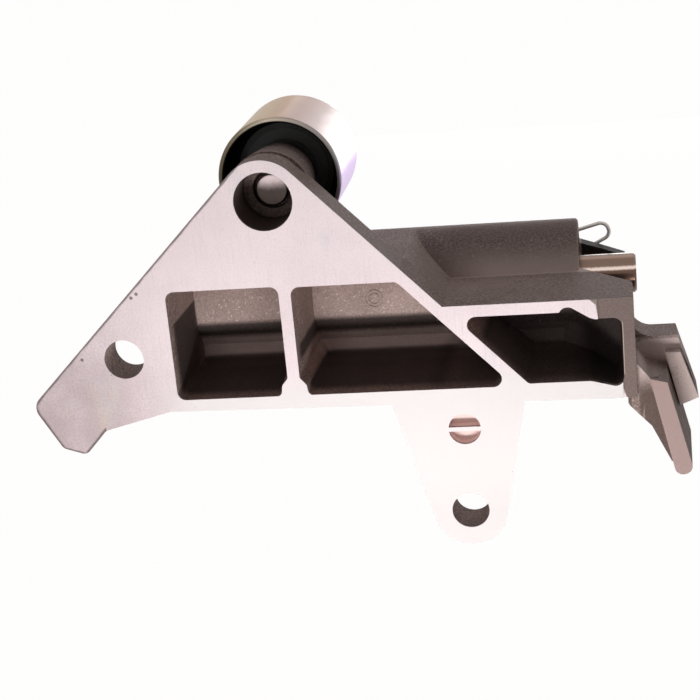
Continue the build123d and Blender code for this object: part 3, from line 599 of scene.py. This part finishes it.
class DAMPER_OT_roller(bpy.types.Operator):
    """Dress the belt roller, its bearing, bolt and washer, and the damper's inner pieces."""

    bl_idname = "damper.roller"
    bl_label = "Roller"

    def execute(self, context):
        self.dress_shell(context.scene.roller_look)
        self.dress_bolt()
        bearing = dress_plainly(
            "bearing_steel",
            (
                "bearing_inner_ring",
                "bearing_outer_ring",
                "bearing_balls",
                "damper_sleeve",
                "damper_piston",
                "check_ball",
            ),
            300,
            (28, 26, 26),
            (40, 37, 36),
            metallic=0.5,
        )
        bearing.set(roughness=bearing.noise(400) * 0.15 + 0.45)
        seal = dress_plainly(
            "black_seal",
            ("bearing_seal_front", "bearing_seal_rear", "rod_seal"),
            900,
            (22, 20, 20),
            (44, 40, 38),
            roughness=0.55,
        )
        seal.set(normal=seal.bump(seal.noise(2500), 0.02 * MM, 0.4))
        dress_plainly(
            "cage_sheet",
            ("bearing_cage", "check_retainer"),
            600,
            (170, 160, 140),
            (140, 132, 118),
            metallic=0.8,
            roughness=0.4,
        )
        dress_plainly(
            "dark_spring_steel",
            ("bearing_circlip", "check_spring", "return_spring", "seal_circlip"),
            500,
            (70, 66, 64),
            (98, 92, 88),
            metallic=0.7,
            roughness=0.42,
        )
        dress_plainly("guide_ring_plastic", ("wear_ring",), 700, (120, 92, 62), (96, 74, 52), roughness=0.6)
        return {"FINISHED"}

    def dress_shell(self, look):
        """Thin plating whose colour changes round the roller and brightens at the right as a painted
        reflection, a turned rim with a painted highlight across its top, and a hollow darkened as painted
        shade.
        """
        middle = centre_of("roller_shell")
        low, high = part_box("roller_shell")
        radius = (high[0] - low[0]) / 2 / MM
        front = low[1] / MM
        s = Shader("plated_roller_steel")
        across = (s.x - middle.x / MM) / radius
        up = (s.z - middle.z / MM) / radius
        cloud = s.noise(120, 4, 0.6, s.stretched((1, 0.35, 1)))
        lines = s.noise(1.0, 4, 0.7, s.stretched((4, 2600, 4)))
        # Hollow painted near-black: painted shade
        hollow = s.fade((across * across + up * up).root(), 0.93, 0.95)
        # Plating colours across the roller; the pale stops and sky film at the right are painted reflection
        film = s.ramp(
            (across + 1) * 0.5 + (cloud - 0.5) * 0.16,
            (0.0, lit(104, 104, 88)),
            (0.25, lit(120, 108, 88)),
            (0.5, lit(134, 86, 64)),
            (0.64, lit(128, 90, 76)),
            (0.82, tuple(look.steel)),
            (0.92, lit(178, 164, 162)),
            (0.97, tuple(look.sky)),
        )
        # Rim: olive plating at the left, a painted highlight across the top
        rim = s.ramp(
            (across + 1) * 0.5,
            (0.0, lit(60, 55, 45)),
            (0.2, lit(104, 97, 85)),
            (0.45, lit(176, 166, 152)),
            (0.75, lit(150, 142, 138)),
            (1.0, lit(132, 128, 128)),
        )
        film = s.layers(
            film,
            # Lilac at the lower right: plating colour, brightened as painted reflection
            (s.fade(up + cloud * 0.2, 0.1, 0.34) * s.ease(across, 0.4, 0.8), tuple(look.lilac)),
            (s.ease(up - across + cloud * 0.3, 0.8, 1.35) * 0.6, tuple(look.straw)),
            (s.fade(s.y, front + 0.1, front + 0.7) * 0.9, rim),
        )
        s.set(
            base_color=s.blend(hollow, film, lit(12, 11, 11)),
            metallic=s.mix(hollow, 0.85, 1.0),
            roughness=s.mix(hollow, 0.3, 0.55) + lines * 0.08,
            normal=s.bump(lines, 0.03 * MM, 0.25),
        )
        dress("roller_shell", s.material)

    def dress_bolt(self):
        """Smudged bolt end, with a painted highlight at its top and painted shade round its edge."""
        middle = centre_of("roller_shell") / MM
        s = Shader("plated_bolt_steel")
        smudge = s.noise(260, 5, 0.6)
        reach = s.away((middle.x, middle.z)).root()
        # Smudges, and a painted highlight towards the top
        pale = s.ease(smudge * 0.5 + (s.z - middle.z) * 0.14, 0.2, 0.7)
        steel = s.blend(pale, lit(80, 67, 62), lit(188, 170, 171))
        s.set(
            # Darker ring round the edge: painted shade
            base_color=s.blend(s.ease(reach, 3.1, 3.9) * 0.8, steel, lit(66, 56, 52)),
            metallic=0.6,
            roughness=s.ease(smudge, 0.3, 0.8) * 0.2 + 0.28,
            normal=s.bump(s.noise(1400), 0.02 * MM, 0.3),
        )
        for node in ("roller_bolt", "roller_washer"):
            dress(node, s.material)


class DAMPER_OT_plunger(bpy.types.Operator):
    """Dress the polished plunger and the wire lock pin."""

    bl_idname = "damper.plunger"
    bl_label = "Plunger and pin"

    def execute(self, context):
        low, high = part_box("plunger_rod")
        s = Shader("polished_rod")
        lines = s.noise(1.0, 3, 0.6, s.stretched((3000, 6, 6)))
        up = (s.z - low[2] / MM) / ((high[2] - low[2]) / MM)
        # Colour by height: a painted reflection stripe, painted shade towards the bottom, and darker again
        # at the top
        stripe_and_shade = s.ramp(
            up + (lines - 0.5) * 0.03,
            (0.0, lit(84, 64, 56)),
            (0.64, lit(102, 80, 71)),
            (0.67, lit(236, 214, 204)),
            (0.695, lit(226, 204, 194)),
            (0.72, lit(122, 100, 90)),
            (0.81, lit(116, 95, 84)),
            (0.93, lit(84, 68, 60)),
        )
        s.set(base_color=stripe_and_shade, metallic=1.0, roughness=lines * 0.08 + 0.2)
        dress("plunger_rod", s.material)
        pale, grey = (204, 198, 192), (176, 170, 165)
        dress_plainly("pin_wire", ("lock_pin",), 800, pale, grey, metallic=0.75, roughness=0.4)
        return {"FINISHED"}


class DAMPER_OT_stage(bpy.types.Operator):
    """Set up the floor, light and camera."""

    bl_idname = "damper.stage"
    bl_label = "Stage"

    def execute(self, context):
        scene = context.scene
        look = scene.stage_look
        self.make_floor()
        self.make_world(scene, look.fill)
        for name, (place, width, height, share) in LAMPS.items():
            self.make_lamp(name, place, width, height, look.key_power * share)
        self.make_camera(scene, look.lens)
        scene.view_settings.view_transform = "Standard"
        return {"FINISHED"}

    def make_floor(self):
        """Pale floor that shows white to the camera and keeps a faint shadow."""
        form = bmesh.new()
        bmesh.ops.create_grid(form, x_segments=1, y_segments=1, size=FLOOR_SIZE)
        bmesh.ops.translate(form, verts=form.verts, vec=(0, 0, CAD_BOX[0][2] - FLOOR_DROP))
        mesh = bpy.data.meshes.new("floor")
        form.to_mesh(mesh)
        form.free()
        floor = bpy.data.objects.new("floor", mesh)
        bpy.context.scene.collection.objects.link(floor)
        s = Shader("pale_floor")
        s.set(base_color=(0.85, 0.85, 0.85), roughness=0.9)
        glow = s.node("Emission", {}, {"Color": (1.0, 0.995, 0.99), "Strength": 1.0})
        camera, glossy = (s.node("LightPath", {}, {}, ray) for ray in ("Is Camera Ray", "Is Glossy Ray"))
        seen = camera.larger(glossy)
        matte = Wired(s, s.surface.outputs[0])
        mixed = s.node("MixShader", {}, {0: seen * FLOOR_GLOW, 1: matte, 2: glow})
        s.feed(s.tree.nodes["Material Output"].inputs["Surface"], mixed)
        mesh.materials.append(s.material)

    def make_world(self, scene, fill):
        """White to the camera, in reflections and through glass, softer as light."""
        world = bpy.data.worlds.new("studio")
        world.use_nodes = True
        n = Nodes(world.node_tree)
        rays = ("Is Camera Ray", "Is Glossy Ray", "Is Transmission Ray")
        camera, glossy, through = (n.node("LightPath", {}, {}, ray) for ray in rays)
        seen = camera.larger(glossy).larger(through)
        strength = n.node("MapRange", {}, {"Value": seen, "To Min": fill, "To Max": 1.0})
        background = n.tree.nodes["Background"]
        n.feed(background.inputs["Color"], (1.0, 0.995, 0.985))
        n.feed(background.inputs["Strength"], strength)
        scene.world = world

    def make_lamp(self, name, place, width, height, power):
        """Soft lamp that looks at the object and isn't seen itself."""
        data = bpy.data.lights.new(name, "AREA")
        data.shape = "RECTANGLE"
        data.size = width
        data.size_y = height
        data.energy = power
        lamp = bpy.data.objects.new(name, data)
        lamp.visible_camera = False
        target = (Vector(CAD_BOX[0]) + Vector(CAD_BOX[1])) / 2
        place = Vector(place)
        turn = (target - place).to_track_quat("-Z", "Y").to_matrix().to_4x4()
        lamp.matrix_world = Matrix.Translation(place) @ turn
        bpy.context.scene.collection.objects.link(lamp)

    def make_camera(self, scene, lens):
        """Camera that stands where the photograph was taken."""
        data = bpy.data.cameras.new("camera")
        data.lens = lens
        data.sensor_width = SENSOR_WIDTH
        data.clip_start = CLIP_START
        camera = bpy.data.objects.new("camera", data)
        scene.collection.objects.link(camera)
        axes = (Vector(CAMERA_RIGHT), -Vector(CAMERA_DOWN), -Vector(CAMERA_FORWARD))
        camera.matrix_world = Matrix.Translation(CAMERA_PLACE) @ Matrix(axes).transposed().to_4x4()
        scene.camera = camera


class DAMPER_PT_panel(bpy.types.Panel):
    """Lists the damper's pieces in the sidebar."""

    bl_idname = "DAMPER_PT_panel"
    bl_label = "Timing Belt Damper"
    bl_space_type = "VIEW_3D"
    bl_region_type = "UI"
    bl_category = "Damper"

    def draw(self, context):
        for operator in OPERATORS:
            self.layout.operator(operator.bl_idname)
        for look in LOOKS:
            group = getattr(context.scene, look)
            for name in group.__annotations__:
                self.layout.prop(group, name)


OPERATORS = (DAMPER_OT_bracket, DAMPER_OT_roller, DAMPER_OT_plunger, DAMPER_OT_stage)
LOOKS = {"casting_look": CastingLook, "roller_look": RollerLook, "stage_look": StageLook}


def register():
    """Registers the classes and the settings they read."""
    for kind in (*LOOKS.values(), *OPERATORS, DAMPER_PT_panel):
        bpy.utils.register_class(kind)
    for name, group in LOOKS.items():
        setattr(bpy.types.Scene, name, bpy.props.PointerProperty(type=group))


def unregister():
    """Removes what register added."""
    for name in LOOKS:
        delattr(bpy.types.Scene, name)
    for kind in (DAMPER_PT_panel, *reversed(OPERATORS), *LOOKS.values()):
        bpy.utils.unregister_class(kind)


def main():
    """Builds every piece."""
    register()
    bpy.ops.damper.stage()
    bpy.ops.damper.bracket()
    bpy.ops.damper.roller()
    bpy.ops.damper.plunger()


if __name__ == "__main__":
    main()
